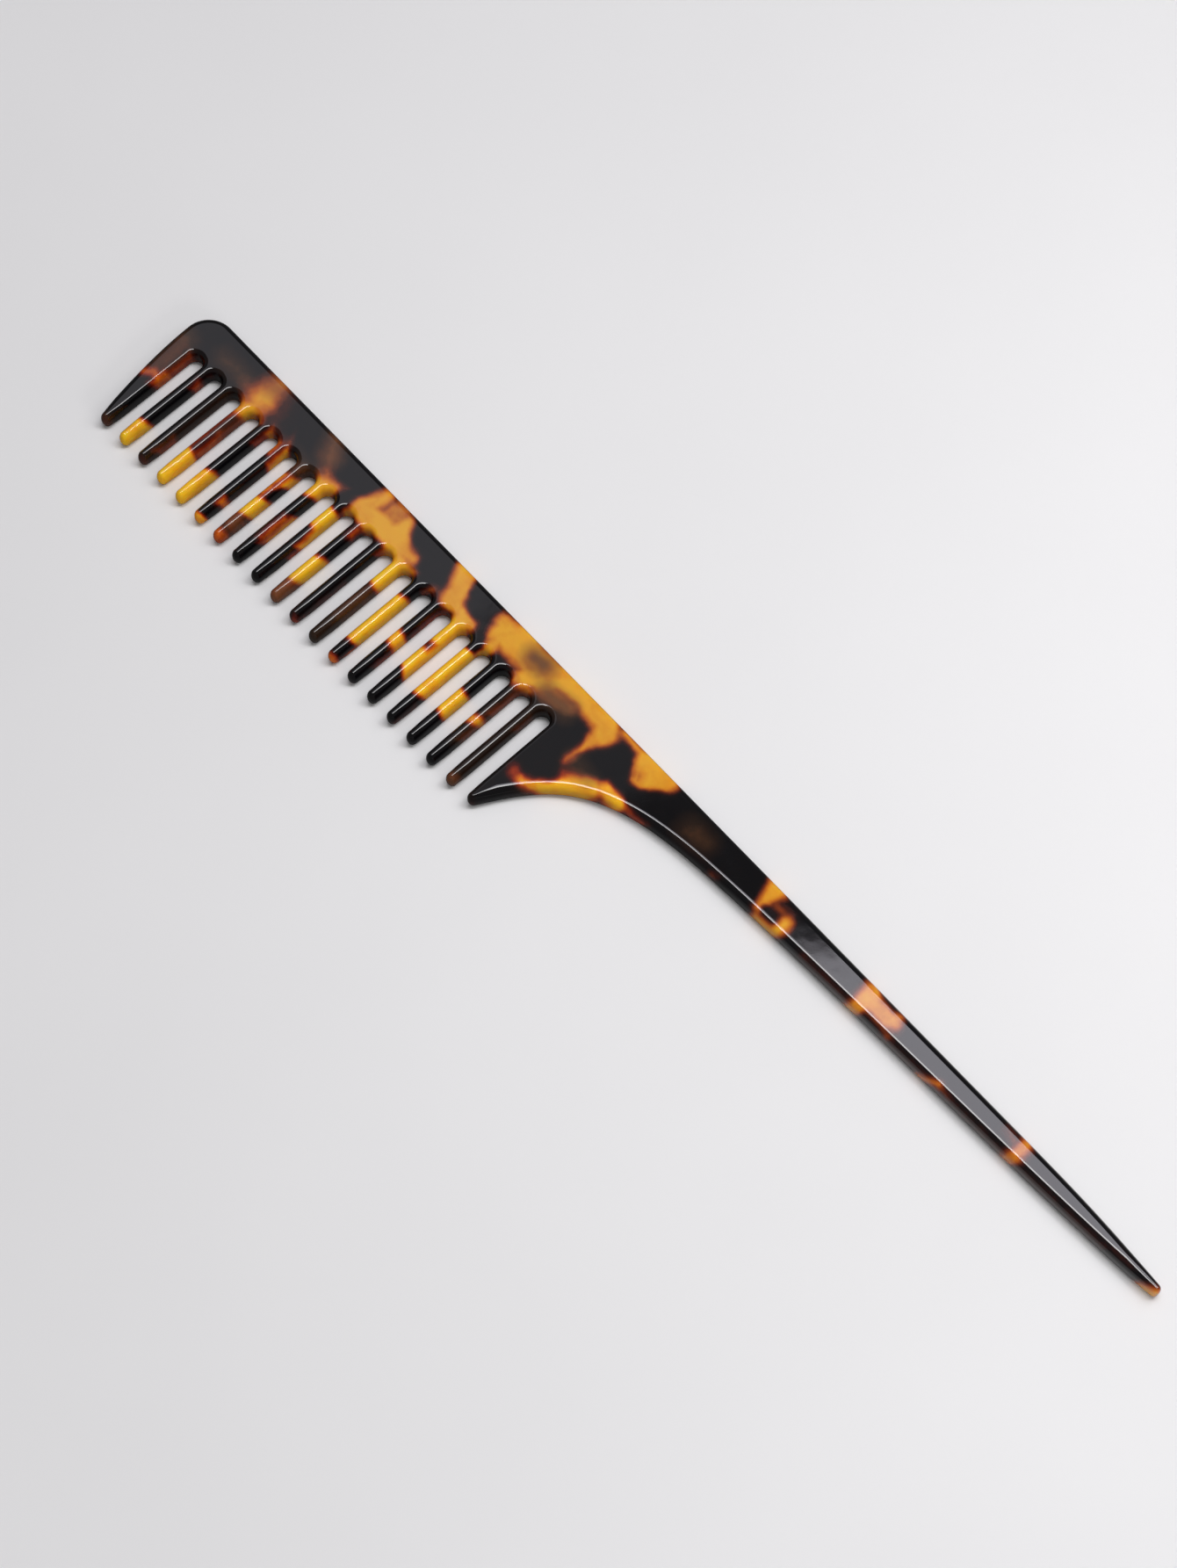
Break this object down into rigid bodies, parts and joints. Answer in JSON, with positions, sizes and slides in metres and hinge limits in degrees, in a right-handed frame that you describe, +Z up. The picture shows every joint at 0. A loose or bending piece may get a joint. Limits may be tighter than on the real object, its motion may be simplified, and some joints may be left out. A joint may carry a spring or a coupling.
{
  "type": "wide tooth tail comb",
  "caption": "Flat rigid hair comb with widely spaced round-edged teeth, a guard at each end of them and a long tapering tail handle.",
  "frame": {"origin": "centre of the comb's bounding box at its underside, the face that it lies on", "axes": "+X along the comb from the head to the tip of the tail, +Y from the tooth tips to the straight back, +Z up through the sheet"},
  "size_m": [0.2154, 0.0257, 0.0037],
  "materials": {
    "acetate_amber": "polished translucent amber",
    "acetate_honey": "polished translucent honey brown",
    "acetate_brown": "polished translucent red brown",
    "acetate_smoke": "polished near black"
  },
  "bodies": {
    "root": {"spine": "acetate_honey", "tail": "acetate_smoke", "front_guard": "acetate_brown", "heel_guard": "acetate_smoke", "tooth_01": "acetate_smoke", "tooth_02": "acetate_brown", "tooth_03": "acetate_amber", "tooth_04": "acetate_smoke", "tooth_05": "acetate_brown", "tooth_06": "acetate_amber", "tooth_07": "acetate_brown", "tooth_08": "acetate_smoke", "tooth_09": "acetate_amber", "tooth_10": "acetate_smoke", "tooth_11": "acetate_brown", "tooth_12": "acetate_amber", "tooth_13": "acetate_brown", "tooth_14": "acetate_amber", "tooth_15": "acetate_amber", "tooth_16": "acetate_brown", "tooth_17": "acetate_brown", "tooth_18": "acetate_smoke"}
  },
  "joints": []
}
